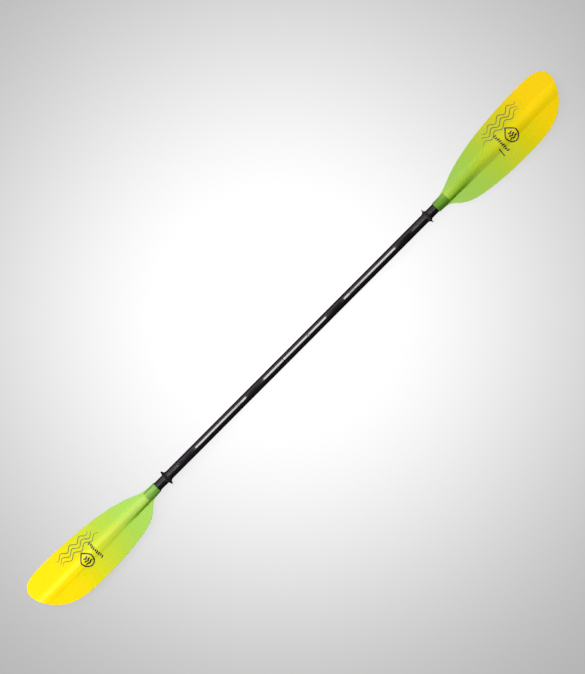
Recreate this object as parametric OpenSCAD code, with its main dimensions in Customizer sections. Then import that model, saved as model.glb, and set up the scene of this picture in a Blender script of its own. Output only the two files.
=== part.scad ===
// Two-piece touring kayak paddle with a bent shaft, unfeathered at rest.
// X runs along the shaft, Y towards the long edges of the blades, Z out of their power faces.

/* [Shaft] */
// Length from blade tip to blade tip
paddle_len = 2300; // [2250:10:2400]
// Outer radius of the tube
shaft_r = 15.5; // [15:0.1:16]
// Wall of the tube
shaft_wall = 1.3; // [1:0.1:1.5]
// Radius of each bend
bend_r = 90; // [60:5:110]
// How far the hand grips swing out of the shaft's axis
grip_swing = 15; // [8:1:18]
// Place of the joint between the halves, to the left of the middle
joint_x = -50.6; // [-60:0.2:-45]
// Gap between the ends of the two halves
joint_gap = 0.6; // [0.6:0.1:0.8]

/* [Ferrule] */
// Wall of the sleeve inside the right half
sleeve_wall = 1; // [0.8:0.1:1.2]
// Running clearance of the spigot in the sleeve, on the radius
slip = 0.05; // [0.02:0.01:0.08]
// Bore radius of the spigot
spigot_bore_r = 9.5; // [9:0.1:10]
// Width of the end collar
collar_w = 12; // [8:1:16]
// Place of the button
button_x = 58.7; // [56:0.1:62]
// Radius of the button
button_r = 4; // [3.5:0.1:4.5]
// Angle between two feather settings
detent_step = 15; // [15, 30]
// Largest feather angle either way
feather_max = 60; // [60, 30]

/* [Drip rings] */
// Outer radius of a ring
ring_r = 27; // [24:0.5:30]
// Width of a ring's hub
ring_w = 15; // [12:1:18]
// Distance from the right ring to its blade
right_ring_gap = 38; // [30:1:50]
// Distance from the left ring to its blade
left_ring_gap = 43; // [40:1:60]

/* [Blades] */
// Blade length from the edge of its neck to its tip
blade_len = 531; // [510:1:545]
// Outer radius of the neck
neck_r = 17.5; // [17.3:0.1:18]
// How deep the shaft goes into the neck
socket_len = 45; // [40:1:48]
// How far the tip curves towards the power side
tip_rise = 32; // [20:1:40]
// How far the panels fall away from the rib, per millimetre of width
dihedral = 0.1; // [0.05:0.01:0.12]
// Half of the laminate's thickness at the edge
edge_half = 0.8; // [0.6:0.1:1]
// Half of the laminate's thickness in the middle
panel_half = 1.3; // [1:0.1:1.6]

/* [Hidden] */
$fn = 96;
fine = 48;
big = 90;

carbon = "#26221f";
black_rubber = "#17171a";
leaf_green = "#8fd04a";
sun_yellow = "#f5dc14";
foam_white = "#e6e4da";
steel = "#b4b8bc";
moulded_black = "#2b2b2e";
amber = "#a8844a";

tube_bore_r = shaft_r - shaft_wall;
sleeve_bore_r = tube_bore_r - sleeve_wall;
spigot_r = sleeve_bore_r - slip;
neck_x = paddle_len / 2 - blade_len;
shaft_end_x = neck_x + socket_len;

// The shaft's bends in the XZ plane, each made in two kinks: the grips slope, the rest lies on the axis
bends = [[150, 0], [217, -grip_swing], [455, grip_swing], [505, 0]];

// Ferrule lengths along X
sleeve_end_x = 96;
spigot_root_x = -120;
spigot_end_x = 45;
web_x = 12;
web_w = 4;
tip_end_x = 88;
stub_r = spigot_bore_r - slip;
stub_x = 18;
tip_bore_r = 10.2;
screw_r = 2.5;
screw_head_r = 4.5;
detent_x = 32;
detent_r = 2;
o_ring_x = -45;
o_ring_r = 0.9;
plug_len = 12;
plug_inset = 3;
button_clearance = 0.3;
seat_depth = 1;
seat_z = stub_r - detent_r + seat_depth;
pocket_floor_z = screw_r + 1.2;

// ---- shared shapes ----

// A bar or tube along +X from x0 to x1
module along_x(x0, x1, r, bore = 0) {
    translate([x0, 0, 0]) rotate([0, 90, 0]) linear_extrude(x1 - x0) difference() {
        circle(r);
        if (bore > 0) circle(bore);
    }
}

module mirrored() { mirror([1, 0, 0]) children(); }

// ---- shaft ----

function heading(p, i) = atan2(p[i + 1][1] - p[i][1], p[i + 1][0] - p[i][0]);
function turn(p, i) = heading(p, i) - heading(p, i - 1);

// A corner becomes two kinks of half its turn
function eased(p, i) =
    let (d = bend_r * tan(abs(turn(p, i)) / 4), before = heading(p, i - 1), after = heading(p, i))
    [p[i] - d * [cos(before), sin(before)], p[i] + d * [cos(after), sin(after)]];
function rounder(p) = [p[0], for (i = [1:len(p) - 2]) each eased(p, i), p[len(p) - 1]];

// The half space beyond a point of the route, on the mitre at that point
module beyond(p, i, side) {
    before = heading(p, max(i - 1, 0));
    after = heading(p, min(i, len(p) - 2));
    translate([p[i][0], 0, p[i][1]]) rotate([0, -(before + after) / 2, 0])
        translate([side > 0 ? 0 : -4 * big, -big / 2, -big / 2]) cube([4 * big, big, big]);
}

module tube_stretch(p, i, r, bore) {
    spare = 12;
    length = norm(p[i + 1] - p[i]);
    intersection() {
        translate([p[i][0], 0, p[i][1]]) rotate([0, -heading(p, i), 0])
            along_x(i == 0 ? 0 : -spare, length + (i == len(p) - 2 ? 0 : spare), r, bore);
        if (i > 0) beyond(p, i, 1);
        if (i < len(p) - 2) beyond(p, i + 1, -1);
    }
}

// A bent tube from x0 to the end inside the blade
module bent_tube(x0) {
    p = rounder(concat([[x0, 0]], bends, [[shaft_end_x, 0]]));
    for (i = [0:len(p) - 2]) tube_stretch(p, i, shaft_r, tube_bore_r);
}

module button_hole() {
    translate([button_x, 0, 0]) cylinder(r = button_r + button_clearance, h = 2 * shaft_r, $fn = fine);
}

module shaft_plug() {
    color(foam_white) along_x(shaft_end_x - plug_inset - plug_len, shaft_end_x - plug_inset, tube_bore_r);
}

module right_shaft() {
    color(carbon) difference() {
        bent_tube(joint_x + collar_w);
        button_hole();
    }
}

module left_shaft() {
    color(carbon) mirrored() bent_tube(-joint_x + joint_gap);
}

module right_shaft_plug() { shaft_plug(); }
module left_shaft_plug() { mirrored() shaft_plug(); }

// ---- ferrule ----

module ferrule_collar() {
    color(moulded_black) along_x(joint_x, joint_x + collar_w, shaft_r, tube_bore_r);
}

module ferrule_sleeve() {
    color(amber) difference() {
        along_x(joint_x, sleeve_end_x, tube_bore_r, sleeve_bore_r);
        button_hole();
    }
}

module sleeve_plug() {
    color(foam_white) along_x(sleeve_end_x, sleeve_end_x + plug_len, tube_bore_r);
}

// The male half: bonded in the left tube, then a running fit in the sleeve
module ferrule_spigot() {
    root_end_x = joint_x - joint_gap;
    groove_w = 2 * o_ring_r + 0.4;
    color(moulded_black) difference() {
        union() {
            along_x(spigot_root_x, root_end_x, tube_bore_r, spigot_bore_r);
            along_x(root_end_x, spigot_end_x, spigot_r, spigot_bore_r);
            along_x(web_x, web_x + web_w, spigot_bore_r, screw_r + 0.1);
        }
        along_x(o_ring_x - groove_w / 2, o_ring_x + groove_w / 2, spigot_r + 1, spigot_r - 2 * o_ring_r);
        // One seat for the detent ball at each feather setting
        for (a = [-feather_max:detent_step:feather_max]) rotate([a, 0, 0])
            translate([detent_x, 0, seat_z]) sphere(detent_r + slip, $fn = fine);
    }
}

module spigot_plug() {
    start = spigot_root_x + plug_inset;
    color(foam_white) along_x(start, start + plug_len, spigot_bore_r);
}

module spigot_o_ring() {
    color(black_rubber) translate([o_ring_x, 0, 0]) rotate([0, 90, 0])
        rotate_extrude() translate([spigot_r - o_ring_r, 0]) circle(o_ring_r, $fn = fine);
}

// The rotating end of the spigot, which carries the button
module index_tip() {
    pocket_r = detent_r + 0.1;
    color(moulded_black) difference() {
        union() {
            along_x(stub_x, spigot_end_x + 1, stub_r);
            along_x(spigot_end_x + 0.2, tip_end_x, spigot_r);
        }
        along_x(spigot_end_x + 3, tip_end_x + 1, tip_bore_r);
        along_x(stub_x - 1, stub_x + 20, screw_r);
        translate([detent_x, 0, pocket_floor_z]) cylinder(r = pocket_r, h = stub_r, $fn = fine);
        translate([button_x, 0, 0]) cylinder(r = button_r + 0.1, h = spigot_r + 1, $fn = fine);
    }
}

// A ball on a short spring, which clicks into the seats of the spigot
module detent_plunger() {
    spring_r = detent_r - 0.6;
    color(steel) translate([detent_x, 0, 0]) {
        translate([0, 0, seat_z]) sphere(detent_r, $fn = fine);
        translate([0, 0, pocket_floor_z]) cylinder(r = spring_r, h = seat_z - pocket_floor_z, $fn = fine);
    }
}

module tip_screw() {
    head_x = web_x - 1.5;
    color(steel) difference() {
        union() {
            along_x(head_x, stub_x + 20, screw_r);
            along_x(head_x - 4, head_x, screw_head_r);
        }
        translate([head_x - 4.5, 0, 0]) rotate([0, 90, 0]) cylinder(r = 2, h = 3, $fn = 6);
    }
}

module tip_washer() {
    color(steel) along_x(web_x - 1.5, web_x - 0.2, screw_head_r + 1.5, screw_r + 0.01);
}

// A dished washer that takes up the play behind the stub
module spring_washer() {
    dish = 0.8;
    thick = 0.6;
    outer_r = stub_r - 0.6;
    inner_r = screw_r + 0.6;
    color(steel) translate([web_x + web_w + 0.2, 0, 0]) rotate([90, 0, 90]) rotate_extrude()
        polygon([[inner_r, 0], [outer_r, dish], [outer_r, dish + thick], [inner_r, thick]]);
}

// A button riveted on a leaf of spring steel folded inside the tip
module snap_button_spring() {
    leaf_w = 7;
    leaf = 0.8;
    top_z = 7.9;
    fold_r = 7.4;
    head_top = shaft_r - 0.4;
    crown = 1.2;
    back_x = 74;
    color(steel) {
        translate([button_x, 0, top_z]) {
            cylinder(r = button_r, h = head_top - crown - top_z, $fn = fine);
            translate([0, 0, head_top - crown - top_z])
                cylinder(r1 = button_r, r2 = button_r - crown, h = crown, $fn = fine);
        }
        translate([button_x - 6, -leaf_w / 2, top_z - leaf]) cube([back_x - button_x + 6, leaf_w, leaf]);
        translate([button_x - 6, -leaf_w / 2, top_z - 2 * fold_r])
            cube([back_x - button_x + 6, leaf_w, leaf]);
        translate([back_x, leaf_w / 2, top_z - fold_r]) rotate([90, 0, 0]) linear_extrude(leaf_w)
            intersection() {
                difference() {
                    circle(fold_r, $fn = fine);
                    circle(fold_r - leaf, $fn = fine);
                }
                translate([0, -big / 2]) square([big, big]);
            }
    }
}

// ---- drip rings ----

module drip_ring(x) {
    bore = shaft_r + 0.05;
    hub_r = shaft_r + 1.6;
    half = ring_w / 2;
    lean = 1.5;
    color(black_rubber) translate([x, 0, 0]) rotate([0, 90, 0]) rotate_extrude() polygon([
        [bore, -half], [hub_r, -half], [hub_r + 0.35, -half + 2.9], [hub_r + 2, lean - 4.1],
        [ring_r - 5, lean - 2.2], [ring_r, lean - 0.4], [ring_r, lean + 0.7], [ring_r - 5, lean + 1],
        [hub_r + 2, lean + 2], [hub_r + 0.35, half - 2.5], [hub_r, half], [bore, half],
    ]);
}

module right_drip_ring() { drip_ring(neck_x - right_ring_gap); }
module left_drip_ring() { mirrored() drip_ring(neck_x - left_ring_gap); }

// ---- blades ----
// A blade is drawn by s, the distance from the edge of its neck, out to blade_len at the tip.

function clamp01(v) = min(1, max(0, v));
function soft(v) = let (c = clamp01(v)) c * c * (3 - 2 * c);
function blend(a, b, f) = a + (b - a) * f;

// A smooth curve through points [s, value], level at its last point
function chord(p, i) = (p[i + 1][1] - p[i][1]) / (p[i + 1][0] - p[i][0]);
function slope(p, i) = i == 0 ? chord(p, 0) : i >= len(p) - 1 ? 0
    : (p[i + 1][1] - p[i - 1][1]) / (p[i + 1][0] - p[i - 1][0]);
function span_at(p, s, i = 0) = (i >= len(p) - 2 || s < p[i + 1][0]) ? i : span_at(p, s, i + 1);
function curve(p, s) =
    let (i = span_at(p, s), h = p[i + 1][0] - p[i][0], t = clamp01((s - p[i][0]) / h))
    p[i][1] * (1 + 2 * t) * (1 - t) * (1 - t) + p[i + 1][1] * t * t * (3 - 2 * t)
    + h * (slope(p, i) * t * (1 - t) * (1 - t) - slope(p, i + 1) * t * t * (1 - t));

// The two long edges, as distances from the axis, up to where they start to close
upper_edge = [[0, 17.5], [32, 19], [60, 26], [100, 42], [145, 55.5], [200, 67], [270, 76.3],
    [350, 82.5], [423, 84.5]];
lower_edge = [[0, 17.5], [37, 22], [53, 33], [70, 48], [90, 60], [120, 70], [160, 77], [210, 82.5],
    [283, 86]];
tip_y = 41;

// Past its last point an edge closes on the tip as a quarter of a superellipse
tip_power = 4;
function edge_y(edge, side, bulge, s) =
    let (last = edge[len(edge) - 1], f = clamp01((s - last[0]) / (blade_len - last[0])))
    s < last[0] ? side * curve(edge, s)
    : tip_y + (side * last[1] - tip_y) * pow(max(0, 1 - pow(f, tip_power)), bulge);
function upper(s) = edge_y(upper_edge, 1, 0.5, s);
function lower(s) = edge_y(lower_edge, -1, 0.67, s);

// The rib lies on the axis: its half width, its height and how sharply its foot meets the panel
function rib_half(s) = curve([[0, neck_r], [50, neck_r], [120, 21], [300, 24], [blade_len, 21]], s);
face_height = [[0, 1], [50, 1], [90, 0.76], [160, 0.52], [300, 0.36], [430, 0.26], [blade_len, 0.14]];
back_height = [[0, 1], [50, 1], [90, 0.55], [150, 0.16], [220, 0]];
function rib_foot(s) = blend(0.5, 1.6, soft((s - 60) / 110));
function rib(s, y, height) =
    let (a = clamp01(abs(y) / rib_half(s)))
    (neck_r - edge_half) * curve(height, s) * pow(max(0, 1 - a * a), rib_foot(s));

// The middle surface: the spoon along the blade and the dihedral across it
function middle(s, y) =
    let (f = clamp01((s - 20) / (blade_len - 20)), a = max(0, abs(y) - 15))
    tip_rise * f * f - soft((s - 40) / 110) * (dihedral * a - 0.0005 * a * a);
function half_thick(s, y) =
    let (edge = min(upper(s) - y, y - lower(s)))
    blend(edge_half, panel_half, soft(edge / 30) * soft(s / 100));
function face_z(s, y) = middle(s, y) + half_thick(s, y) + rib(s, y, face_height);
function back_z(s, y) = middle(s, y) - half_thick(s, y) - rib(s, y, back_height);

// Stations along the blade, and columns across it that crowd on the rib
stations = concat([0, 25, 45, 53, 62, 72, 84, 100, 120, 145, 175, 210, 250, 300, 350, 400],
    [for (d = [92, 62, 40, 25, 14, 7, 2.4, 0.3]) blade_len - d]);
side_steps = 4;
rib_steps = 4;
function column_y(s, j) =
    let (lo = lower(s), hi = upper(s), mid = max(0, blend(lo, hi, 0.4)),
        reach = min(blend(0.7 * neck_r, 19, soft(s / 80)), 0.5 * (mid - lo), 0.5 * (hi - mid)),
        a = mid - reach, b = mid + reach, n = 2 * rib_steps)
    j <= side_steps ? blend(lo, a, j / side_steps)
    : j <= side_steps + n ? blend(a, b, (j - side_steps) / n)
    : blend(b, hi, (j - side_steps - n) / side_steps);
columns = 2 * side_steps + 2 * rib_steps;

// The solid between two heights over the blade's outline: top is 1 for the face, -1 for the back
function skin_z(s, y, layer) = layer == 0 ? middle(s, y) : layer > 0 ? face_z(s, y) : back_z(s, y);
module between(low, high) {
    m = columns + 1;
    n = len(stations);
    points = [for (layer = [low, high]) for (s = stations) for (j = [0:columns])
        let (y = column_y(s, j)) [neck_x + s, y, skin_z(s, y, layer)]];
    function at(layer, i, j) = layer * n * m + i * m + j;
    faces = concat(
        [for (i = [0:n - 2]) for (j = [0:columns - 1]) each [
            [at(0, i, j), at(0, i + 1, j), at(0, i + 1, j + 1)],
            [at(0, i, j), at(0, i + 1, j + 1), at(0, i, j + 1)],
            [at(1, i, j), at(1, i + 1, j + 1), at(1, i + 1, j)],
            [at(1, i, j), at(1, i, j + 1), at(1, i + 1, j + 1)]]],
        [for (i = [0:n - 2]) each [
            [at(0, i, 0), at(1, i, 0), at(1, i + 1, 0)],
            [at(0, i, 0), at(1, i + 1, 0), at(0, i + 1, 0)],
            [at(0, i, columns), at(1, i + 1, columns), at(1, i, columns)],
            [at(0, i, columns), at(0, i + 1, columns), at(1, i + 1, columns)]]],
        [for (j = [0:columns - 1]) each [
            [at(0, 0, j), at(0, 0, j + 1), at(1, 0, j + 1)],
            [at(0, 0, j), at(1, 0, j + 1), at(1, 0, j)],
            [at(0, n - 1, j), at(1, n - 1, j + 1), at(0, n - 1, j + 1)],
            [at(0, n - 1, j), at(1, n - 1, j), at(1, n - 1, j + 1)]]]);
    polyhedron(points, faces);
}

// The tapered spar that carries on from the shaft between the skins
spar_start = socket_len + 1;
spar_end = 258;
spar_lift = 9;
spar_root_r = 6.5;
spar_tip_r = 1.6;
module spar_shape() {
    tilt = atan(spar_lift / (spar_end - spar_start));
    translate([neck_x + spar_start, 0, 0]) rotate([0, 90 - tilt, 0])
        cylinder(r1 = spar_root_r, r2 = spar_tip_r, h = (spar_end - spar_start) / cos(tilt));
}

module hollowed() {
    difference() {
        children();
        along_x(neck_x - 1, shaft_end_x, shaft_r);
        spar_shape();
    }
}

module blade_face() { color(leaf_green) hollowed() between(0, 1); }
module blade_back() { color(sun_yellow) hollowed() between(-1, 0); }
module blade_spar() { color(foam_white) spar_shape(); }

module right_blade_face() { blade_face(); }
module right_blade_back() { blade_back(); }
module right_blade_spar() { blade_spar(); }
module left_blade_face() { mirrored() blade_face(); }
module left_blade_back() { mirrored() blade_back(); }
module left_blade_spar() { mirrored() blade_spar(); }

right_shaft();
right_shaft_plug();
right_blade_face();
right_blade_back();
right_blade_spar();
ferrule_collar();
ferrule_sleeve();
sleeve_plug();
left_shaft();
left_shaft_plug();
left_blade_face();
left_blade_back();
left_blade_spar();
ferrule_spigot();
spigot_plug();
spigot_o_ring();
index_tip();
detent_plunger();
tip_screw();
tip_washer();
spring_washer();
snap_button_spring();
right_drip_ring();
left_drip_ring();
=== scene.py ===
"""Looks of a two-piece touring kayak paddle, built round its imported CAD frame.

X runs along the shaft, Y towards the long edges of the blades, Z out of their power faces.
Lengths in the shape functions are in millimetres; meshes, materials and lamps are in metres.
"""

import math

import bpy
import numpy as np
from mathutils import Matrix, Vector


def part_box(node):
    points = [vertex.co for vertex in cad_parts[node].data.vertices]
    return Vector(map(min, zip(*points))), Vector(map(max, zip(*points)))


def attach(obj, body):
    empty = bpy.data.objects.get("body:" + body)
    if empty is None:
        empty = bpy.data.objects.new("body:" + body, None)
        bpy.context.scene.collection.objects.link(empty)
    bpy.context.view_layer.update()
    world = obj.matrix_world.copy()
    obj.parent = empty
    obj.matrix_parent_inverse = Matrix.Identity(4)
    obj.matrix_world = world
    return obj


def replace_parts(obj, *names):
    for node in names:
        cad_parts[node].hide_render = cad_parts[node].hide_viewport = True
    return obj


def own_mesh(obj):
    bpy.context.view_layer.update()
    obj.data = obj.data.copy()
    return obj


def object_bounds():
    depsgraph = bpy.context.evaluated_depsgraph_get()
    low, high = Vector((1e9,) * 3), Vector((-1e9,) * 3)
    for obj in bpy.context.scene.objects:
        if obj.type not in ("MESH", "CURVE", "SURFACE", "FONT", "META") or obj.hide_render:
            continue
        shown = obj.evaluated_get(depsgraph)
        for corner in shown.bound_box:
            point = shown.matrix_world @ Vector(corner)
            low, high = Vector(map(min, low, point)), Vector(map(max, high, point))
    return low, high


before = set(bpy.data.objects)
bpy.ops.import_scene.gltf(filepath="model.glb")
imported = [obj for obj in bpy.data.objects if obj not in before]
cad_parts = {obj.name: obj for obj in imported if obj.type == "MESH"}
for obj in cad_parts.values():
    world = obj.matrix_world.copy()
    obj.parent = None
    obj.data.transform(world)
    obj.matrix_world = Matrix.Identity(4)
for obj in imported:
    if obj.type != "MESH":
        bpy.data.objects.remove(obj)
cad_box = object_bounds()

MM = 0.001
BLACK = (0, 0, 0, 1)
WHITE = (1, 1, 1, 1)


def extent(node):
    """Lowest and highest corner of a CAD node, in millimetres."""
    low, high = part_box(node)
    return np.array(low) / MM, np.array(high) / MM


# ---- sizes, from the frame ----
NECK_X = extent("right_blade_face")[0][0]
SHAFT_R = extent("ferrule_collar")[1][1]
SHAFT_END_X = extent("right_shaft")[1][0]
COLLAR_X = (extent("ferrule_collar")[0][0], extent("ferrule_collar")[1][0])
LEFT_TUBE_X = extent("left_shaft")[1][0]
BUTTON = extent("snap_button_spring")
RING_HALF = (extent("right_drip_ring")[1][0] - extent("right_drip_ring")[0][0]) / 2
RING_R = extent("right_drip_ring")[1][1]

# ---- the design's own numbers, which the frame's boxes don't give ----
NECK_R = 17.5                # outside of a blade's neck
SHAFT_WALL = 1.3
BENDS = [(150, 0), (217, -15), (455, 15), (505, 0)]     # (x, z) of each corner of the right half
BEND_RADII = [250, 150, 170, 90]                        # wide enough to let highlights fade
BLADE_LEN = 531
TIP_RISE = 32                # the spoon: how far forward the tip lies
SPOON_START = 20
DIHEDRAL = 0.1               # how fast the panels fall back from the middle, and how that eases
DIHEDRAL_CURL = 0.0005
FLAT_HALF = 15
EDGE_HALF = 0.8              # half the laminate's thickness at its edge and in its panels
PANEL_HALF = 1.3
BUTTON_R = 4
BUTTON_CLEARANCE = 0.3
GAP_TRIM = 0.3               # how much nearer the collar the left tube starts than in the CAD
TUBE_SHARP = 30              # degrees


# ================================================================ meshes

def make_object(name, verts, faces, material, body, sharp=35):
    """An object from points in millimetres, smooth except across angles over sharp degrees."""
    mesh = bpy.data.meshes.new(name)
    points = (np.asarray(verts, float) * MM).tolist()
    mesh.from_pydata(points, [], [list(map(int, f)) for f in faces])
    mesh.validate()
    mesh.shade_smooth()
    mesh.set_sharp_from_angle(angle=math.radians(sharp))
    mesh.materials.append(material)
    obj = bpy.data.objects.new(name, mesh)
    bpy.context.scene.collection.objects.link(obj)
    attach(obj, body)
    return obj


def grid_faces(rows, cols, close_rows=False, close_cols=False, flip=False):
    """Quads over a grid of rows by cols points numbered row by row."""
    faces = []
    for i in range(rows if close_rows else rows - 1):
        for j in range(cols if close_cols else cols - 1):
            k, n = (i + 1) % rows, (j + 1) % cols
            face = (i * cols + j, i * cols + n, k * cols + n, k * cols + j)
            faces.append(face[::-1] if flip else face)
    return faces


def give_uv(obj, uv_rows, uv_cols):
    """A UV map named weave for a grid mesh that closes across, which carries on past the seam."""
    layer = obj.data.uv_layers.new(name="weave")
    cols = len(uv_cols)
    for poly in obj.data.polygons:
        js = [obj.data.loops[k].vertex_index % cols for k in poly.loop_indices]
        wraps = max(js) - min(js) > 1
        for k, j in zip(poly.loop_indices, js):
            i = obj.data.loops[k].vertex_index // cols
            v = uv_cols[j] + (1 if wraps and j == 0 else 0)
            layer.data[k].uv = (uv_rows[i], v)


def rounded_corners(points, radius, steps=5):
    """A profile with each inner corner replaced by a curve of up to about that radius."""
    most, flat, tiny = 0.45, 1.55, 1e-3
    pts = [np.array(p, float) for p in points]
    out = [pts[0]]
    for a, b, c in zip(pts, pts[1:], pts[2:]):
        before, after = a - b, c - b
        la, lc = np.linalg.norm(before), np.linalg.norm(after)
        before, after = before / la, after / lc
        half = math.acos(np.clip(before @ after, -1, 1)) / 2
        reach = min(radius / math.tan(half), most * la, most * lc) if half < flat else 0
        if reach < tiny:
            out.append(b)
            continue
        start, end = b + reach * before, b + reach * after
        for t in np.linspace(0, 1, steps):
            out.append((1 - t) ** 2 * start + 2 * t * (1 - t) * b + t * t * end)
    return out + [pts[-1]]


def lathe(name, profile, material, body, at=0, axis="x", segments=96, sharp=40):
    """A closed profile of (place on the axis, radius) turned round X, or round a Z at x = at."""
    profile = np.array(profile, float)
    angles = np.linspace(0, 2 * math.pi, segments, endpoint=False)
    along = np.repeat(profile[:, :1], segments, 1)
    y = profile[:, 1:] * np.cos(angles)
    z = profile[:, 1:] * np.sin(angles)
    if axis == "x":
        verts = np.stack([along + at, y, z], -1)
    else:
        verts = np.stack([y + at, z, along], -1)
    faces = grid_faces(len(profile), segments, close_rows=True, close_cols=True)
    obj = make_object(name, verts.reshape(-1, 3), faces, material, body, sharp)
    flow = np.cumsum(np.r_[0, np.linalg.norm(np.diff(profile, axis=0), axis=1)]) * MM
    give_uv(obj, flow, np.arange(segments) / segments)
    return obj


# ================================================================ materials

def srgb(r, g, b, exposure=1.0):
    """A colour given as 0 to 255 on a screen, as linear light divided by the exposure."""
    def linear(v):
        v = v / 255
        return v / 12.92 if v <= 0.04045 else ((v + 0.055) / 1.055) ** 2.4
    return (linear(r) / exposure, linear(g) / exposure, linear(b) / exposure, 1.0)


class Shading:
    """One material's nodes."""

    def __init__(self, name, roughness, **plain):
        self.material = bpy.data.materials.new(name)
        self.material.use_nodes = True
        self.tree = self.material.node_tree
        self.shader = self.tree.nodes["Principled BSDF"]
        self.put(self.shader.inputs["Base Color"], BLACK)
        self.put(self.shader.inputs["Roughness"], roughness)
        for key, value in plain.items():
            self.put(self.shader.inputs[key.replace("_", " ")], value)

    def put(self, socket, value):
        if isinstance(value, bpy.types.NodeSocket):
            self.tree.links.new(value, socket)
        else:
            socket.default_value = value

    def node(self, kind, sockets=(), **settings):
        node = self.tree.nodes.new("ShaderNode" + kind)
        for key, value in settings.items():
            setattr(node, key, value)
        for key, value in dict(sockets).items():
            self.put(node.inputs[key], value)
        return node

    # numbers

    def math(self, operation, *values):
        return self.node("Math", enumerate(values), operation=operation).outputs[0]

    def plus(self, a, b):
        return self.math("ADD", a, b)

    def minus(self, a, b):
        return self.math("SUBTRACT", a, b)

    def product(self, first, *others):
        for value in others:
            first = self.math("MULTIPLY", first, value)
        return first

    def smooth(self, value, low, high):
        """0 below low, 1 above high and smooth between."""
        node = self.node("MapRange", {"Value": value, "From Min": low, "From Max": high},
                         interpolation_type="SMOOTHSTEP")
        return node.outputs["Result"]

    def smooth_off(self, value, low, high):
        """1 below low, 0 above high and smooth between."""
        return self.minus(1.0, self.smooth(value, low, high))

    def band(self, value, low, full, still_full, high):
        """1 from full to still_full, and 0 below low and above high."""
        return self.product(self.smooth(value, low, full), self.smooth_off(value, still_full, high))

    # colours

    def mix(self, factor, a, b):
        return self.node("Mix", {0: factor, 6: a, 7: b}, data_type="RGBA").outputs[2]

    def tinted(self, base, mask, tint):
        """The base, multiplied by the tint where the mask is 1."""
        sockets = {0: 1.0, 6: base, 7: self.mix(mask, WHITE, tint)}
        return self.node("Mix", sockets, data_type="RGBA", blend_type="MULTIPLY").outputs[2]

    def ramp(self, factor, stops):
        node = self.node("ValToRGB", {"Fac": factor})
        elements = node.color_ramp.elements
        for place, _ in stops[2:]:
            elements.new(place)
        for element, (place, colour) in zip(elements, stops):
            element.position = place
            element.color = colour
        return node.outputs["Color"]

    # places and patterns

    def place(self):
        """The point's place in the paddle's frame, as (vector, x, y, z), in metres."""
        vector = self.node("TexCoord").outputs["Object"]
        split = self.node("SeparateXYZ", {0: vector})
        return vector, split.outputs[0], split.outputs[1], split.outputs[2]

    def noise(self, vector, scale, detail=2.0, roughness=0.5):
        sockets = {"Vector": vector, "Scale": scale, "Detail": detail, "Roughness": roughness}
        return self.node("TexNoise", sockets).outputs["Fac"]

    def drawn_out(self, vector, scale, detail=2.0, roughness=0.5):
        """Noise with a scale of its own along each axis."""
        mapped = self.node("Mapping", {"Vector": vector, "Scale": scale}).outputs[0]
        return self.noise(mapped, 1.0, detail, roughness)

    def bump(self, height, strength, distance, under=None):
        sockets = {"Height": height, "Strength": strength, "Distance": distance}
        if under is not None:
            sockets["Normal"] = under
        return self.node("Bump", sockets).outputs[0]

    # the shader's sockets

    def colour(self, value):
        self.put(self.shader.inputs["Base Color"], value)

    def roughness(self, least, pattern, spread):
        uneven = self.plus(least, self.product(pattern, spread))
        self.put(self.shader.inputs["Roughness"], uneven)

    def finish(self, normal=None):
        if normal is not None:
            self.put(self.shader.inputs["Normal"], normal)
        return self.material


# how much brighter the lamps leave the blades than their own colours, and the dye along them
BLADE_LIGHT = 1.40
BLADE_FADE = [
    (0.12, (157, 207, 95)), (0.30, (161, 206, 80)), (0.42, (175, 205, 60)),
    (0.55, (199, 206, 38)), (0.65, (216, 207, 8)), (0.80, (247, 211, 0)),
]
WEAVE_PITCH = 0.0019
TOWS_ROUND = 40


def blade_srgb(r, g, b):
    return srgb(r, g, b, BLADE_LIGHT)


def neck_over_tube(s, vector, along, off_axis):
    """Where the dark tube shows through the neck, up to a ragged line, and the colour there."""
    streaks = s.drawn_out(vector, (18, 420, 420))
    ragged = s.plus(along, s.product(s.minus(streaks, 0.5), 0.011))
    beside_tube = s.product(s.smooth(off_axis, 0.0172, 0.0185), s.smooth(along, 0.008, 0.03))
    over_tube = s.product(s.smooth_off(ragged, 0.0445, 0.0475), s.minus(1.0, beside_tube))
    wet = s.smooth(streaks, 0.25, 0.8)
    start = s.mix(wet, blade_srgb(84, 140, 48), blade_srgb(122, 178, 74))
    end = s.mix(wet, blade_srgb(100, 152, 52), blade_srgb(140, 190, 80))
    return over_tube, s.mix(s.smooth(along, 0.0, 0.05), start, end)


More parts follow.
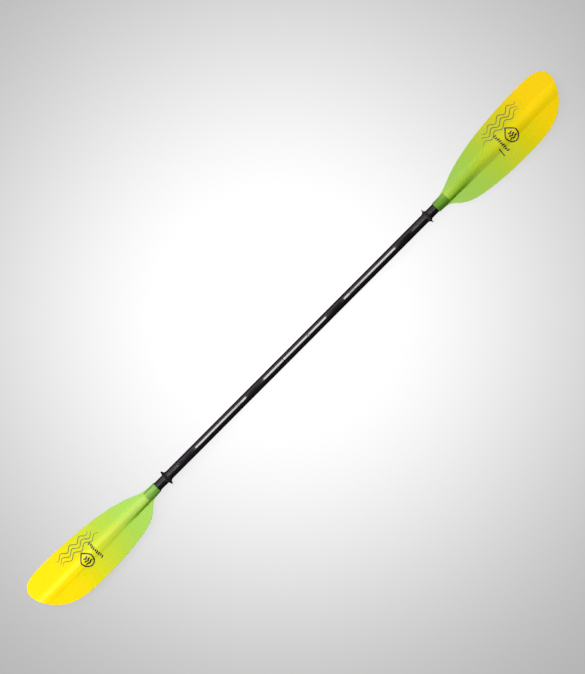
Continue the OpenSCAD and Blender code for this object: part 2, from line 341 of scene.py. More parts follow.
def laminate(name):
    """Dyed glass-fibre laminate under clear gel: green at the neck, fading to a yellow tip, with
    painted highlights and shade on its ribs and necks.
    """
    s = Shading(name, 0.42, Specular_IOR_Level=0.05, Specular_Tint=(1.0, 0.92, 0.35, 1))
    vector, x, y, _ = s.place()
    along = s.minus(s.math("ABSOLUTE", x), NECK_X * MM)
    off_axis = s.math("ABSOLUTE", y)
    right_side = s.math("GREATER_THAN", x, 0.0)
    left_side = s.math("LESS_THAN", x, 0.0)
    on_rib = s.smooth_off(off_axis, 0.008, 0.024)

    # the dye creeps, and the rib took it a little further from the neck than the panels did
    cloud = s.noise(vector, 14.0, 3.0)
    crept = s.plus(along, s.product(s.minus(cloud, 0.5), 0.045))
    crept = s.plus(crept, s.product(on_rib, 0.028))
    share = s.math("DIVIDE", crept, BLADE_LEN * MM)
    dyed = s.ramp(share, [(place, blade_srgb(*c)) for place, c in BLADE_FADE])
    on_yellow = s.smooth(share, 0.35, 0.6)

    # painted light on each rib's crest: a paler, brighter sheen on the left; on the right painted
    # shade, which stops short of its lower flank
    past_neck = s.smooth(along, 0.05, 0.11)
    right_crest_shade = s.mix(past_neck, (1.08, 0.98, 0.70, 1), (0.86, 0.87, 0.55, 1))
    green_crest_light = s.mix(right_side, (1.13, 1.0, 1.2, 1), right_crest_shade)
    yellow_crest_light = s.mix(right_side, (1, 1.07, 1.4, 1), (0.98, 0.98, 1, 1))
    crest_light = s.mix(on_yellow, green_crest_light, yellow_crest_light)
    on_top = s.product(on_rib, s.smooth(y, -0.016, -0.008))
    dyed = s.tinted(dyed, s.mix(right_side, on_rib, on_top), crest_light)

    # painted shade darkens the upper panels a little, and painted light lifts the left rib's lower
    # flank
    above = s.smooth(y, 0.016, 0.03)
    green_above_shade = s.mix(right_side, (0.96, 0.965, 1.05, 1), (0.93, 0.945, 0.92, 1))
    yellow_above_shade = s.mix(right_side, WHITE, (1, 0.95, 1, 1))
    dyed = s.tinted(dyed, above, s.mix(on_yellow, green_above_shade, yellow_above_shade))
    flank_light = s.band(y, -0.0235, -0.0195, -0.012, -0.005)
    flank_light = s.product(flank_light, left_side, s.smooth_off(along, 0.38, 0.46))
    dyed = s.tinted(dyed, flank_light, s.mix(on_yellow, (1.18, 1.16, 1.0, 1), (1.1, 1.12, 1, 1)))

    # painted sheen: a pale highlight along the left rib's crest
    crest_sheen = s.product(s.band(y, -0.004, 0.005, 0.009, 0.017), left_side)
    crest_sheen = s.product(crest_sheen, s.product(s.smooth(along, 0.10, 0.22), 0.06))
    dyed = s.mix(crest_sheen, dyed, blade_srgb(255, 252, 180))

    # cloth shows through as a fine mottle
    mottle = s.drawn_out(vector, (260, 260, 40), 3.0, 0.6)
    bare = s.mix(0.10, dyed, (0.95, 0.95, 0.05, 1))
    mottled = s.mix(s.smooth(mottle, 0.35, 0.75), dyed, bare)

    # painted shade: darker along the lower foot of the rib near the neck, where the groove lies in
    # shadow
    foot = s.band(y, -0.0205, -0.0175, -0.0150, -0.006)
    foot = s.product(foot, s.smooth_off(along, 0.085, 0.185))
    mottled = s.tinted(mottled, foot, (0.5, 0.68, 0.14, 1))

    # painted light and shade: near the neck the right rib is lighter and yellower on its upper
    # side, darker and greener on its lower side
    upper_side = s.smooth(y, -0.008, 0.012)
    rib_light_and_shade = s.product(on_rib, right_side, s.smooth_off(along, 0.12, 0.20))
    rib_light_and_shade_tint = s.mix(upper_side, (0.88, 0.96, 0.55, 1), (1.12, 1.01, 1.22, 1))
    mottled = s.tinted(mottled, rib_light_and_shade, rib_light_and_shade_tint)

    over_tube, neck = neck_over_tube(s, vector, along, off_axis)
    # painted light on the necks: the left one a little lighter, with a painted highlight along its
    # crest; the right one lighter above and in painted shade below
    right_neck_light_and_shade = s.mix(upper_side, (0.63, 0.77, 0.32, 1), (1.13, 0.96, 1.15, 1))
    neck = s.tinted(neck, 1.0, s.mix(right_side, (1.1, 1.06, 1.05, 1), right_neck_light_and_shade))
    neck_crest_highlight = s.product(s.band(y, -0.005, 0.006, 0.006, 0.013), left_side)
    neck = s.tinted(neck, neck_crest_highlight, (1.6, 1.2, 1.9, 1))
    s.colour(s.mix(over_tube, mottled, neck))
    s.roughness(0.34, mottle, 0.16)

    # plain-weave cloth, barely raised under the gel
    waves = [s.math("SINE", s.product(axis, 2 * math.pi / WEAVE_PITCH)) for axis in (x, y)]
    normal = s.bump(s.product(*waves), 0.12, 0.00005)
    ripple = s.noise(vector, 60.0, 2.0)
    return s.finish(s.bump(ripple, 0.10, 0.0012, normal))


def twill(name):
    """Carbon cloth in a two-by-two twill under a glossy coat, laid out on the weave map."""
    tow = 2 * math.pi * SHAFT_R * MM / TOWS_ROUND
    s = Shading(name, 0.32, Coat_Weight=1.0, Coat_Roughness=0.09, Specular_IOR_Level=0.15)
    uv = s.node("UVMap", uv_map="weave").outputs[0]
    split = s.node("SeparateXYZ", {0: uv})
    u = s.math("DIVIDE", split.outputs[0], tow)
    v = s.product(split.outputs[1], float(TOWS_ROUND))
    across_u, across_v = s.math("FRACT", u), s.math("FRACT", v)
    cell = s.plus(s.math("FLOOR", u), s.math("FLOOR", v))
    phase = s.math("FLOORED_MODULO", cell, 4.0)
    lengthwise = s.math("LESS_THAN", phase, 1.5)

    arches = [s.math("SINE", s.product(across, math.pi)) for across in (across_u, across_v)]
    height = s.mix(lengthwise, *arches)
    fibres_u = s.drawn_out(uv, (250, 9000, 1))
    fibres_v = s.drawn_out(uv, (2600, 900, 1))
    fibres = s.mix(lengthwise, fibres_v, fibres_u)
    weft = s.mix(fibres, srgb(12, 9, 13), srgb(18, 14, 18))
    warp = s.mix(fibres, srgb(17, 13, 17), srgb(29, 24, 28))
    s.colour(s.mix(lengthwise, weft, warp))
    resin = s.drawn_out(uv, (30, 8, 1), 3.0)
    s.roughness(0.28, resin, 0.12)
    normal = s.bump(height, 0.06, 0.00008)
    return s.finish(s.bump(resin, 0.02, 0.0006, normal))


def rubber(name):
    """Soft black rubber with a dull, slightly dusty skin."""
    s = Shading(name, 0.55, Specular_IOR_Level=0.35)
    vector, _, y, z = s.place()
    dust = s.noise(vector, 180.0, 4.0, 0.65)
    far = s.math("SQRT", s.plus(s.product(y, y), s.product(z, z)))
    worn = s.product(s.smooth(far, 0.0245, 0.027), s.smooth(dust, 0.35, 0.8))
    clean = s.mix(dust, srgb(18, 18, 20), srgb(30, 30, 33))
    s.colour(s.mix(worn, clean, srgb(62, 62, 64)))
    s.roughness(0.45, dust, 0.25)
    return s.finish(s.bump(s.noise(vector, 2200.0), 0.15, 0.0001))


def moulded(name, dark, light, roughness, grain=1400.0, strength=0.12, **plain):
    """Moulded or machined material: two close tones, a grain and some uneven shine."""
    s = Shading(name, roughness, **plain)
    vector, *_ = s.place()
    s.colour(s.mix(s.noise(vector, 220.0, 4.0, 0.6), dark, light))
    s.roughness(roughness - 0.08, s.noise(vector, 90.0, 3.0), 0.18)
    return s.finish(s.bump(s.noise(vector, grain), strength, 0.0001))


def collar_finish(name):
    """Polished composite with fine turned lines round it."""
    s = Shading(name, 0.16, Coat_Weight=0.6, Coat_Roughness=0.06)
    vector, *_ = s.place()
    lines = s.drawn_out(vector, (5200, 40, 40))
    s.colour(s.mix(lines, srgb(13, 10, 14), srgb(26, 22, 26)))
    s.roughness(0.12, lines, 0.10)
    return s.finish(s.bump(lines, 0.05, 0.00003))


def polished_steel(name):
    """Stainless steel with faint polishing scratches."""
    s = Shading(name, 0.2, Metallic=1.0)
    vector, *_ = s.place()
    scratches = s.drawn_out(vector, (900, 9000, 900), 3.0)
    s.colour(s.mix(scratches, srgb(150, 153, 158), srgb(205, 207, 210)))
    s.roughness(0.14, scratches, 0.2)
    return s.finish(s.bump(scratches, 0.06, 0.00003))


def glass_cloth(name):
    """Amber wound laminate of the inner sleeve, its rovings crossing both ways round it."""
    s = Shading(name, 0.35, Coat_Weight=0.4, Coat_Roughness=0.15)
    _, x, y, z = s.place()
    pitch = s.product(x, 1700.0)
    turn = s.product(s.math("ARCTAN2", z, y), 24.0)
    cross = s.product(s.math("SINE", s.plus(pitch, turn)), s.math("SINE", s.minus(pitch, turn)))
    s.colour(s.mix(s.smooth(cross, -0.7, 0.7), srgb(120, 88, 42), srgb(178, 142, 84)))
    return s.finish(s.bump(cross, 0.1, 0.00008))


def foam(name):
    """Closed-cell foam."""
    s = Shading(name, 0.8)
    vector, *_ = s.place()
    cells = s.node("TexVoronoi", {"Vector": vector, "Scale": 900.0}, feature="DISTANCE_TO_EDGE")
    wall = s.smooth(cells.outputs[0], 0.0, 0.12)
    s.colour(s.mix(wall, srgb(196, 193, 180), srgb(232, 230, 220)))
    return s.finish(s.bump(wall, 0.4, 0.0003))


def printed(name, colour, gap=0.35):
    """Screen-printed ink, a little thin in places."""
    s = Shading(name, 0.4, Specular_IOR_Level=0.3)
    vector, *_ = s.place()
    thin = s.noise(vector, 700.0, 3.0, 0.7)
    lighter = tuple(min(1.0, 1.6 * c + 0.01) for c in colour[:3]) + (1.0,)
    s.colour(s.mix(s.smooth(thin, gap, 0.8), colour, lighter))
    return s.finish(s.bump(thin, 0.1, 0.00003))


# ================================================================ blades

def soft(v):
    """0 up to 0, 1 from 1 and smooth between."""
    c = np.clip(v, 0, 1)
    return c * c * (3 - 2 * c)


def blend(a, b, f):
    return a + (b - a) * f


def curve(points, s):
    """A smooth curve through (s, value) points, level at its last point."""
    p = np.array(points, float)
    slopes = np.zeros(len(p))
    slopes[0] = (p[1, 1] - p[0, 1]) / (p[1, 0] - p[0, 0])
    slopes[1:-1] = (p[2:, 1] - p[:-2, 1]) / (p[2:, 0] - p[:-2, 0])
    i = np.clip(np.searchsorted(p[:, 0], s, side="right") - 1, 0, len(p) - 2)
    h = p[i + 1, 0] - p[i, 0]
    t = np.clip((s - p[i, 0]) / h, 0, 1)
    return (p[i, 1] * (1 + 2 * t) * (1 - t) ** 2 + p[i + 1, 1] * t * t * (3 - 2 * t)
            + h * (slopes[i] * t * (1 - t) ** 2 - slopes[i + 1] * t * t * (1 - t)))


UPPER_EDGE = [(0, 17.5), (32, 19), (60, 26), (100, 42), (145, 55.5), (200, 67), (270, 76.3),
              (350, 82.5), (423, 84.5)]
LOWER_EDGE = [(0, 17.5), (37, 22), (53, 33), (70, 48), (90, 60), (120, 70), (160, 77), (210, 82.5),
              (283, 86)]
TIP_Y = 41
TIP_POWER = 4


def edge_y(edge, side, bulge, s):
    """One long edge, which past its last point closes on the tip as a quarter of a superellipse."""
    last_s, last_y = edge[-1]
    f = np.clip((s - last_s) / (BLADE_LEN - last_s), 0, 1)
    closing = TIP_Y + (side * last_y - TIP_Y) * (1 - f ** TIP_POWER) ** bulge
    return np.where(s < last_s, side * curve(edge, s), closing)


def upper(s):
    return edge_y(UPPER_EDGE, 1, 0.5, s)


def lower(s):
    return edge_y(LOWER_EDGE, -1, 0.67, s)


# the rib's half width and, as a share of its height at the neck, its height on either skin
RIB_HALF = [(0, NECK_R), (50, NECK_R), (120, 21), (300, 24), (BLADE_LEN, 21)]
FACE_HEIGHT = [(0, 1), (50, 1), (90, 0.76), (160, 0.52), (300, 0.36), (430, 0.26),
               (BLADE_LEN, 0.14)]
BACK_HEIGHT = [(0, 1), (50, 1), (90, 0.55), (150, 0.16), (220, 0)]


def rib_half(s):
    """Half of the rib's width."""
    return curve(RIB_HALF, s)


def rib(s, y, height):
    """How far a skin's rib rises, its foot getting softer away from the neck."""
    a = np.clip(np.abs(y) / rib_half(s), 0, 1)
    foot = blend(0.5, 1.6, soft((s - 60) / 110))
    return (NECK_R - EDGE_HALF) * curve(height, s) * (1 - a * a) ** foot


def middle(s, y):
    """The middle surface: the spoon along the blade and the dihedral across it."""
    f = np.clip((s - SPOON_START) / (BLADE_LEN - SPOON_START), 0, 1)
    a = np.maximum(0, np.abs(y) - FLAT_HALF)
    return TIP_RISE * f * f - soft((s - 40) / 110) * (DIHEDRAL * a - DIHEDRAL_CURL * a * a)


def skin_depth(s, y):
    """Half of the laminate's thickness, rounded off at the edge."""
    edge = np.maximum(0, np.minimum(upper(s) - y, y - lower(s)))
    round_off = np.sqrt(1 - (1 - np.clip(edge / EDGE_HALF, 0, 1)) ** 2)
    return round_off * blend(EDGE_HALF, PANEL_HALF, soft(edge / 30) * soft(s / 100))


def face_z(s, y):
    return middle(s, y) + skin_depth(s, y) + rib(s, y, FACE_HEIGHT)


def back_z(s, y):
    return middle(s, y) - skin_depth(s, y) - rib(s, y, BACK_HEIGHT)


def blade_rows():
    """Places along the blade, and how far each section is drawn in for the neck's rounded lip."""
    lip_r = 0.9
    lip = [(0, SHAFT_R / NECK_R)]
    for s in (0, 0.12, 0.4, lip_r):
        radius = NECK_R - lip_r + math.sqrt(lip_r ** 2 - (lip_r - s) ** 2)
        lip.append((s, radius / NECK_R))
    even_end, just_short = 470, 0.01
    body = [(s, 1) for s in np.arange(4, even_end, 3.5)]
    closing = [(BLADE_LEN - (BLADE_LEN - even_end) * (1 - w) ** 2 - just_short, 1)
               for w in np.linspace(0, 1, 26)]
    return np.array(lip + body + closing)


def blade_columns(s, side_steps=20, rib_steps=34):
    """Places across the blade at each s, crowded at the foot of the rib and at the two edges."""
    low, high = lower(s), upper(s)
    centre = np.maximum(0, blend(low, high, 0.4))
    share = blend(0.985, 0.62, soft(s / 80))
    reach = np.minimum.reduce([rib_half(s), share * (centre - low), share * (high - centre)])
    out = []
    for w in np.linspace(0, 1, side_steps, endpoint=False):
        out.append(low + (centre - reach - low) * (1 - math.cos(w * math.pi / 2)) ** 1.3)
    for w in np.linspace(-1, 1, rib_steps, endpoint=False):
        out.append(centre + reach * math.sin(w * math.pi / 2))
    for w in np.linspace(0, 1, side_steps + 1):
        out.append(high - (high - centre - reach) * (1 - math.sin(w * math.pi / 2)) ** 1.3)
    return np.stack(out, 1)


def blade_skin(name, side, is_face, material, body):
    """The face or the back skin of one blade: side is 1 for the right blade and -1 for the left."""
    rows = blade_rows()
    s = rows[:, 0]
    y = blade_columns(s)
    along = np.repeat(s[:, None], y.shape[1], 1)
    z = face_z(along, y) if is_face else back_z(along, y)
    drawn = rows[:, 1:]
    verts = np.stack([side * (NECK_X + along), y * drawn, z * drawn], -1).reshape(-1, 3)
    faces = grid_faces(len(s), y.shape[1], flip=(side > 0) == is_face)
    return make_object(name, verts, faces, material, body, sharp=60)


def ribbon(name, side, lines, width, material, body, taper=0.0):
    """Printed lines on a blade's face, each given by points (s, y), drawn as a thin raised band."""
    lift, crown, sunk = 0.09, 0.02, -0.06
    verts, faces = [], []
    for line in lines:
        p = np.array(line, float)
        closed = np.allclose(p[0], p[-1])
        tangent = np.gradient(p, axis=0)
        if closed:
            tangent[0] = tangent[-1] = p[1] - p[-2]
        tangent /= np.linalg.norm(tangent, axis=1, keepdims=True)
        normal = np.stack([-tangent[:, 1], tangent[:, 0]], 1)
        share = np.linspace(0, 1, len(p))
        half = width / 2 * (1 - taper * np.abs(2 * share - 1) ** 3)[:, None]
        rows = []
        for offset, height in ((-1, sunk), (-1, lift), (0, lift + crown), (1, lift), (1, sunk)):
            q = p + offset * half * normal
            z = face_z(q[:, 0], q[:, 1]) + height
            rows.append(np.stack([side * (NECK_X + q[:, 0]), q[:, 1], z], 1))
        block = np.stack(rows, 1)
        start = len(verts)
        verts.extend(block.reshape(-1, 3))
        n = block.shape[1]
        for face in grid_faces(len(p), n, close_cols=True, flip=side > 0):
            faces.append([start + k for k in face])
        for end in (0, len(p) - 1):
            faces.append([start + end * n + k for k in range(n)])
    return make_object(name, np.array(verts), faces, material, body, sharp=50)


def wave_lines():
    """Three long ripples side by side on the upper panel, a little out of step."""
    lowest_y, spacing, rise, swing, waves, lag = 31, 13.5, 3.5, 6.0, 3.5, 0.22
    lines = []
    for k in range(3):
        s = np.linspace(238 + 10 * k, 392 + 4 * k, 120)
        f = (s - s[0]) / (s[-1] - s[0])
        swung = swing * np.sin(2 * math.pi * (waves * f + lag * k))
        lines.append(np.stack([s, lowest_y + spacing * k + rise * f + swung], 1))
    return lines


def drop_lines():
    """An upright drop that runs to a point at its top, with three short ripples inside."""
    centre_s, centre_y, half_height, round_r = 322, -3, 26, 21
    a = np.linspace(-0.5 * math.pi, 1.5 * math.pi, 97)
    pointed = np.clip(np.sin(a), 0, 1) ** 1.5
    outline = np.stack([centre_s - round_r * np.cos(a) * (1 - 0.9 * pointed),
                        centre_y + half_height * np.sin(a)], 1)
    lowest_y, spacing, swing, waves = -16, 8.5, 2.0, 1.5
    ripples = []
    for k in range(3):
        f = np.linspace(0, 1, 40)
        half = 13 - 3 * k
        y = lowest_y + spacing * k + swing * np.sin(2 * math.pi * waves * f)
        ripples.append(np.stack([centre_s + half * (2 * f - 1), y], 1))
    return [outline] + ripples


def bar_lines():
    """A row of short slanted bars across the rib, every third one a little shorter."""
    top_y, spacing, slant = 27, 7.4, 1.6
    lines = []
    for k in range(9):
        y = top_y - spacing * k
        f = np.linspace(0, 1, 6)[:, None]
        end_s = 287.0 - 2.5 * (k % 3 == 1)
        a, b = np.array([277.0, y + slant]), np.array([end_s, y - slant])
        lines.append(a + f * (b - a))
    return lines


def short_bar():
    """One thin bar beyond the row."""
    f = np.linspace(0, 1, 24)[:, None]
    return [np.array([264.0, -11.0]) + f * np.array([-2.0, -27.0])]


# ================================================================ shaft

def bent_route(start_x, end_x):
    """Points (x, z) and headings down the middle of the tube, with a round arc in each bend."""
    p = np.array([(start_x, 0)] + BENDS + [(end_x, 0)], float)
    legs = np.diff(p, axis=0)
    headings = np.arctan2(legs[:, 1], legs[:, 0])
    units = np.stack([np.cos(headings), np.sin(headings)], 1)
    points, turns = [], []

    def straight(a, b, heading):
        count = max(2, int(np.linalg.norm(b - a) / 5))
        for w in np.linspace(0, 1, count, endpoint=False):
            points.append(a + w * (b - a))
            turns.append(heading)

    at = p[0]
    for i, radius in enumerate(BEND_RADII, 1):
        turn = headings[i] - headings[i - 1]
        reach = radius * math.tan(abs(turn) / 2)
        unit = units[i - 1]
        start = p[i] - reach * unit
        straight(at, start, headings[i - 1])
        side = math.copysign(1, turn)
        centre = start + side * radius * np.array([-unit[1], unit[0]])
        steps = max(6, int(abs(turn) * radius / 2))
        for w in np.linspace(0, 1, steps, endpoint=False):
            a = headings[i - 1] + w * turn
            points.append(centre + side * radius * np.array([math.sin(a), -math.cos(a)]))
            turns.append(a)
        at = p[i] + reach * units[i]
    straight(at, p[-1], headings[-1])
    points.append(p[-1])
    turns.append(headings[-1])
    return np.array(points), np.array(turns)


def bent_tube(name, side, start_x, material, body, segments=96):
    """A tube with a wall: outside from the joint to the blade, back inside, both ends closed."""
    route, turns = bent_route(start_x, SHAFT_END_X)
    angles = np.linspace(0, 2 * math.pi, segments, endpoint=False)
    flow = np.r_[0, np.cumsum(np.linalg.norm(np.diff(route, axis=0), axis=1))]
    lip = 0.12
    inner_r = SHAFT_R - SHAFT_WALL
    rings = [(0, SHAFT_R - lip), (0, SHAFT_R)] + [(i, SHAFT_R) for i in range(1, len(route))]
    rings += [(i, inner_r) for i in range(len(route) - 1, 0, -1)] + [(0, inner_r)]
    verts, places = [], []
    for k, (i, radius) in enumerate(rings):
        ahead = lip if k == 1 else 0
        c = route[i] + ahead * np.array([math.cos(turns[i]), math.sin(turns[i])])
        y = radius * np.cos(angles)
        up = radius * np.sin(angles)
        verts.append(np.stack([side * (c[0] - up * math.sin(turns[i])), y,
                               c[1] + up * math.cos(turns[i])], 1))
        places.append((start_x + flow[i]) * MM)
    faces = grid_faces(len(rings), segments, close_rows=True, close_cols=True, flip=side > 0)
    obj = make_object(name, np.concatenate(verts), faces, material, body,
                      sharp=TUBE_SHARP)
    give_uv(obj, places, np.arange(segments) / segments)
    return obj


def drill_button_hole(tube):
    """Cuts the button's hole through the upper wall of the tube."""
    radius = BUTTON_R + BUTTON_CLEARANCE
    cut_from, cut_to = 5, 30
    angles = np.linspace(0, 2 * math.pi, 48, endpoint=False)
    ring = np.stack([BUTTON_HEAD_X + radius * np.cos(angles), radius * np.sin(angles)], 1) * MM
    verts = [(*p, z * MM) for z in (cut_from, cut_to) for p in ring]
    n = len(ring)
    faces = [tuple(range(n))[::-1], tuple(range(n, 2 * n))]
    faces += [(k, (k + 1) % n, n + (k + 1) % n, n + k) for k in range(n)]
    mesh = bpy.data.meshes.new("hole_cutter")
    mesh.from_pydata(verts, [], faces)
    cutter = bpy.data.objects.new("hole_cutter", mesh)
    bpy.context.scene.collection.objects.link(cutter)
    cut = tube.modifiers.new("hole", "BOOLEAN")
    cut.operation = "DIFFERENCE"
    cut.solver = "EXACT"
    cut.object = cutter
    depsgraph = bpy.context.evaluated_depsgraph_get()
    drilled = bpy.data.meshes.new_from_object(tube.evaluated_get(depsgraph))
    tube.modifiers.clear()
    tube.data = drilled
    drilled.set_sharp_from_angle(angle=math.radians(TUBE_SHARP))
    bpy.data.objects.remove(cutter)


# ================================================================ small parts

LEAF_TOP = 7.9
LEAF_FOLD_R = 7.4
LEAF = 0.8
LEAF_W = 7.0
LEAF_TAIL = 6.0
LEAF_BACK_X = 74.0
BUTTON_HEAD_X = BUTTON[0][0] + LEAF_TAIL


def drip_ring(name, centre_x, side, material, body):
    """A rubber cuff with one tall thin fin that leans towards the blade and catches the drips."""
    bore, cuff = SHAFT_R + 0.05, SHAFT_R + 1.6
    root, shoulder, fin, brim = cuff + 0.35, cuff + 2.0, RING_R - 5.0, RING_R - 1.0
    w = RING_HALF
    outline = [(-w, bore), (-w, cuff), (-4.6, root), (-2.6, shoulder), (-0.7, fin), (0.9, brim),
               (1.3, RING_R), (2.2, RING_R),
               (2.35, brim), (2.5, fin), (3.5, shoulder), (5.0, root), (w, cuff), (w, bore)]
    fine = [(side * a, r) for a, r in rounded_corners(outline, 1.8, 6)]
    if side < 0:
        fine = fine[::-1]
    return lathe(name, fine, material, body, at=centre_x)


def collar(material):
    """The end collar of the right half, with a groove that parts it from the tube."""
    start, end = COLLAR_X
    groove_start, groove_end = end - 0.7, end - 0.5
    inner, floor_r = SHAFT_R - SHAFT_WALL, SHAFT_R - 0.1
    profile = [(start, inner), (start, SHAFT_R), (groove_start, SHAFT_R), (groove_start, floor_r),
               (groove_end, floor_r), (groove_end, SHAFT_R), (end, SHAFT_R), (end, inner)]
    return lathe("collar_ring", rounded_corners(profile, 0.08, 4), material, "right_half",
                 sharp=15)


def index_marks(material):
    """Small printed ticks round the collar at the feather settings, and one on the left tube."""
    def add_tick(verts, faces, x0, x1, degrees, width):
        sunk, lift, count = 0.05, 0.04, 5
        half = math.degrees(width / 2 / SHAFT_R)
        start = len(verts)
        for a in np.linspace(degrees - half, degrees + half, count):
            for x in (x0, x1):
                for r in (SHAFT_R - sunk, SHAFT_R + lift):
                    t = math.radians(a)
                    verts.append((x, r * math.sin(t), r * math.cos(t)))
        for k in range(count - 1):
            a, b = start + 4 * k, start + 4 * (k + 1)
            for i, j in ((0, 1), (1, 3), (3, 2), (2, 0)):
                faces.append((a + i, a + j, b + j, b + i))
        faces.append((start, start + 2, start + 3, start + 1))
        last = start + 4 * (count - 1)
        faces.append((last, last + 1, last + 3, last + 2))

    verts, faces = [], []
    tick_start = COLLAR_X[0] + 0.7
    for degrees in range(-60, 61, 15):
        reach = 4.0 if degrees % 30 == 0 else 2.6
        add_tick(verts, faces, tick_start, tick_start + reach, degrees, 0.5)
    make_object("collar_index_marks", verts, faces, material, "right_half")
    verts, faces = [], []
    add_tick(verts, faces, LEFT_TUBE_X - 6.5, LEFT_TUBE_X - 0.9, 0, 0.9)
    make_object("shaft_index_mark", verts, faces, material, "left_half")


def button_head(material):
    """The round head of the button, with a soft crown, down to the leaf that carries it."""
    top = BUTTON[1][2]
    on_axis = 0.02
    profile = [(LEAF_TOP, on_axis), (LEAF_TOP, BUTTON_R), (top - 0.6, BUTTON_R),
               (top - 0.12, BUTTON_R - 0.6), (top, on_axis)]
    fine = rounded_corners(profile, 0.5, 6)
    return lathe("snap_button_head", fine[::-1], material, "snap_button",
                 at=BUTTON_HEAD_X, axis="z", segments=48, sharp=50)


def leaf_spring(material):
    """A strip of spring steel folded back on itself, under the button."""
    fold_centre = LEAF_TOP - LEAF_FOLD_R
    middle_r = LEAF_FOLD_R - LEAF / 2
    tail_x = BUTTON_HEAD_X - LEAF_TAIL
    line = [(x, fold_centre + middle_r)
            for x in np.linspace(tail_x, LEAF_BACK_X, 14, endpoint=False)]
    for a in np.linspace(90, -90, 25):
        t = math.radians(a)
        line.append((LEAF_BACK_X + middle_r * math.cos(t), fold_centre + middle_r * math.sin(t)))
    line += [(x, fold_centre - middle_r) for x in np.linspace(LEAF_BACK_X, tail_x, 15)[1:]]
    p = np.array(line)
    tangent = np.gradient(p, axis=0)
    tangent /= np.linalg.norm(tangent, axis=1, keepdims=True)
    normal = np.stack([-tangent[:, 1], tangent[:, 0]], 1)
    half_w, half_t, edge = LEAF_W / 2, LEAF / 2, 0.25
    ring = [(-half_w, -half_t + edge), (-half_w, half_t - edge), (-half_w + edge, half_t),
            (half_w - edge, half_t), (half_w, half_t - edge), (half_w, -half_t + edge),
            (half_w - edge, -half_t), (-half_w + edge, -half_t)]
    from_end = np.minimum(np.arange(len(p)), np.arange(len(p))[::-1])
    narrow = np.where(from_end == 0, 0.55, np.where(from_end == 1, 0.85, 1.0))
    verts = []
    for q, n, width in zip(p, normal, narrow):
        for y, t in ring:
            verts.append((q[0] + t * n[0], y * width, q[1] + t * n[1]))
    m = len(ring)
    faces = grid_faces(len(p), m, close_cols=True)
    faces += [list(range(m))[::-1], [(len(p) - 1) * m + k for k in range(m)]]
    return make_object("leaf_spring", verts, faces, material, "index_tip",
                       sharp=40)


# ================================================================ the paddle

def build_paddle():
    skin = laminate("blade_laminate_fade")
    carbon = twill("shaft_twill")
    black_rubber = rubber("ring_rubber_black")
    steel = polished_steel("button_steel_polished")
    dark_ink = printed("ink_black", srgb(22, 22, 14))
    olive_ink = printed("ink_olive", blade_srgb(78, 90, 10))
    pale_ink = printed("ink_pale", srgb(62, 60, 63), 0.5)

    for side, word, body in ((1, "right", "right_half"), (-1, "left", "left_half")):
        face = blade_skin(f"{word}_blade_face_skin", side, True, skin, body)
        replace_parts(face, f"{word}_blade_face")
        back = blade_skin(f"{word}_blade_back_skin", side, False, skin, body)
        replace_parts(back, f"{word}_blade_back")
        ribbon(f"{word}_blade_ripples", side, wave_lines(), 3.0, olive_ink, body, 0.5)
        ribbon(f"{word}_blade_drop", side, drop_lines(), 4.4, dark_ink, body)
        ribbon(f"{word}_blade_bars", side, bar_lines(), 4.6, dark_ink, body)
    ribbon("right_blade_short_bar", 1, short_bar(), 3.4, dark_ink, "right_half")

    right_tube = bent_tube("right_tube", 1, COLLAR_X[1], carbon, "right_half")
    drill_button_hole(right_tube)
    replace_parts(right_tube, "right_shaft")
    left_tube = bent_tube("left_tube", -1, -LEFT_TUBE_X - GAP_TRIM, carbon, "left_half")
    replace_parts(left_tube, "left_shaft")

    for side, word in ((1, "right"), (-1, "left")):
        low, high = extent(f"{word}_drip_ring")
        ring = drip_ring(f"{word}_drip_ring_fin", (low[0] + high[0]) / 2, side, black_rubber,
                         f"{word}_ring")
        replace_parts(ring, f"{word}_drip_ring")

    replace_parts(collar(collar_finish("collar_polish")), "ferrule_collar")
    index_marks(pale_ink)
    button_nylon = moulded("button_nylon", srgb(14, 13, 15), srgb(26, 24, 27), 0.2, 2200.0, 0.04)
    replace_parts(button_head(button_nylon), "snap_button_spring")
    leaf = leaf_spring(steel)
    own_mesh(leaf)
    finish_cad_nodes(steel, black_rubber)


def finish_cad_nodes(steel, black_rubber):
    """Better materials for the inner parts, whose CAD shapes stay."""
    white_foam = foam("plug_foam_white")
    black_nylon = moulded("ferrule_nylon", srgb(30, 30, 32), srgb(44, 44, 47), 0.42)
    bright = moulded("screw_steel", srgb(140, 142, 146), srgb(176, 178, 182), 0.3, 2600.0, 0.05,
                     Metallic=1.0)
    finishes = {
        white_foam: ["right_shaft_plug", "left_shaft_plug", "right_blade_spar", "left_blade_spar",
                     "sleeve_plug", "spigot_plug"],
        black_nylon: ["ferrule_spigot", "index_tip"],
        glass_cloth("sleeve_wound_glass"): ["ferrule_sleeve"],
        black_rubber: ["spigot_o_ring"],
        bright: ["tip_screw", "tip_washer", "spring_washer"],
        steel: ["detent_plunger"],
    }
    for material, nodes in finishes.items():
        for node in nodes:
            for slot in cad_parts[node].material_slots:
                slot.material = material


# ================================================================ studio

# the floor's light: where it is brightest, how far it fades and between which distances
FLOOR_CENTRE = (0.05, 0.10)
FLOOR_FADE = 0.325
FLOOR_FADE_R = (0.15, 1.75)
FLOOR_DIFFUSE = 0.08
FLOOR_GLOW = 0.93


def facing(right, up, back, place):
    """The pose at a place of something that looks away from back."""
    pose = Matrix((right, up, back)).transposed().to_4x4()
    pose.translation = place
    return pose


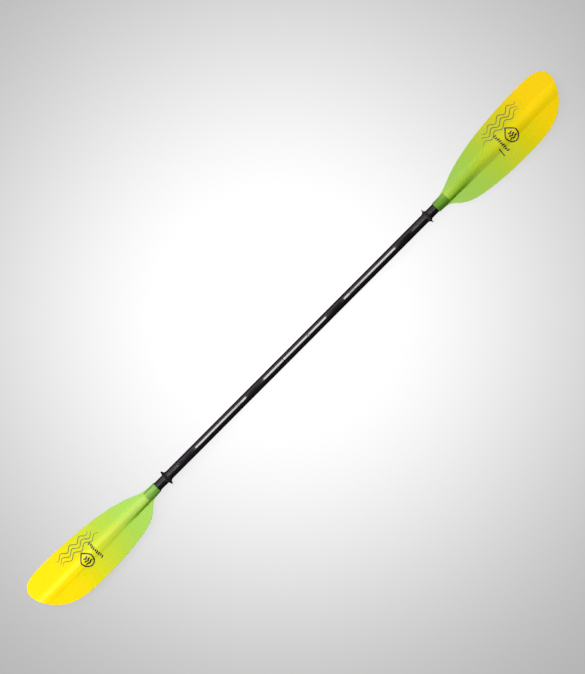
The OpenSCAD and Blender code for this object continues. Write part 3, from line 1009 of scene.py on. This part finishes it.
def add_camera():
    """Looks almost straight down at the power faces from five metres, the shaft at 45 degrees."""
    lean = math.radians(4.25)
    turn = math.radians(45.107)
    distance = 5.0
    aim_along, aim_across = 0.0192, 0.0318
    along = Vector((math.cos(lean), 0, -math.sin(lean)))
    across = Vector((0, 1, 0))
    back = Vector((math.sin(lean), 0, math.cos(lean)))
    right = math.cos(turn) * along - math.sin(turn) * across
    up = math.sin(turn) * along + math.cos(turn) * across
    data = bpy.data.cameras.new("camera")
    data.sensor_fit = "VERTICAL"
    data.sensor_height = 36.0
    data.lens = 85.2516
    data.clip_end = 100
    camera = bpy.data.objects.new("camera", data)
    bpy.context.scene.collection.objects.link(camera)
    place = aim_along * along + aim_across * across + distance * back
    camera.matrix_world = facing(right, up, back, place)
    bpy.context.scene.camera = camera


def add_area(name, place, target, size, power, colour=(1, 1, 1)):
    """A rectangular lamp that shines on the target and isn't seen itself."""
    data = bpy.data.lights.new(name, "AREA")
    data.shape = "RECTANGLE"
    data.size, data.size_y = size
    data.energy = power
    data.color = colour
    light = bpy.data.objects.new(name, data)
    bpy.context.scene.collection.objects.link(light)
    back = (Vector(place) - Vector(target)).normalized()
    right = Vector((1, 0, 0))
    right = (right - right.dot(back) * back).normalized()
    light.matrix_world = facing(right, back.cross(right), back, place)
    light.visible_camera = False


def add_floor():
    """A pale floor that glows: painted light that fades evenly to the corners and washes out the
    shadows on it.
    """
    z = cad_box[0].z - 0.0005
    half = 9.0
    mesh = bpy.data.meshes.new("floor")
    mesh.from_pydata([(-half, -half, z), (half, -half, z), (half, half, z), (-half, half, z)], [],
                     [(0, 1, 2, 3)])
    s = Shading("floor_pale", 1.0, Specular_IOR_Level=0.0)
    _, x, y, _ = s.place()
    dx, dy = s.minus(x, FLOOR_CENTRE[0]), s.minus(y, FLOOR_CENTRE[1])
    r = s.math("SQRT", s.plus(s.product(dx, dx), s.product(dy, dy)))
    screen = s.minus(1.0, s.product(FLOOR_FADE, s.smooth(r, *FLOOR_FADE_R)))
    shade = s.math("POWER", s.math("DIVIDE", s.plus(screen, 0.055), 1.055), 2.4)
    s.colour(s.mix(1 - FLOOR_DIFFUSE, shade, BLACK))
    s.put(s.shader.inputs["Emission Color"], shade)
    s.put(s.shader.inputs["Emission Strength"], FLOOR_GLOW)
    mesh.materials.append(s.finish())
    floor = bpy.data.objects.new("floor", mesh)
    floor.visible_glossy = False
    bpy.context.scene.collection.objects.link(floor)


def add_studio():
    """A soft lamp above, a small one low on the left, a wide one beyond the top, and fill."""
    add_area("key", (-0.485, 1.6, 6.0), (-0.485, 0, 0), (2.09, 4.9), 480.0)
    add_area("left", (-3.0, 0.8, 1.4), (-0.85, 0, 0), (1.2, 1.0), 60.0)
    add_area("upper_side", (0, 4.0, 1.9), (0, 0, 0), (8.0, 3.6), 82.0, (1.0, 0.86, 0.98))
    world = bpy.data.worlds.new("studio")
    world.use_nodes = True
    background = world.node_tree.nodes["Background"]
    background.inputs["Color"].default_value = WHITE
    background.inputs["Strength"].default_value = 0.12
    world.cycles_visibility.glossy = False
    bpy.context.scene.world = world
    add_floor()


add_camera()
build_paddle()
add_studio()
bpy.context.scene.view_settings.view_transform = "Standard"
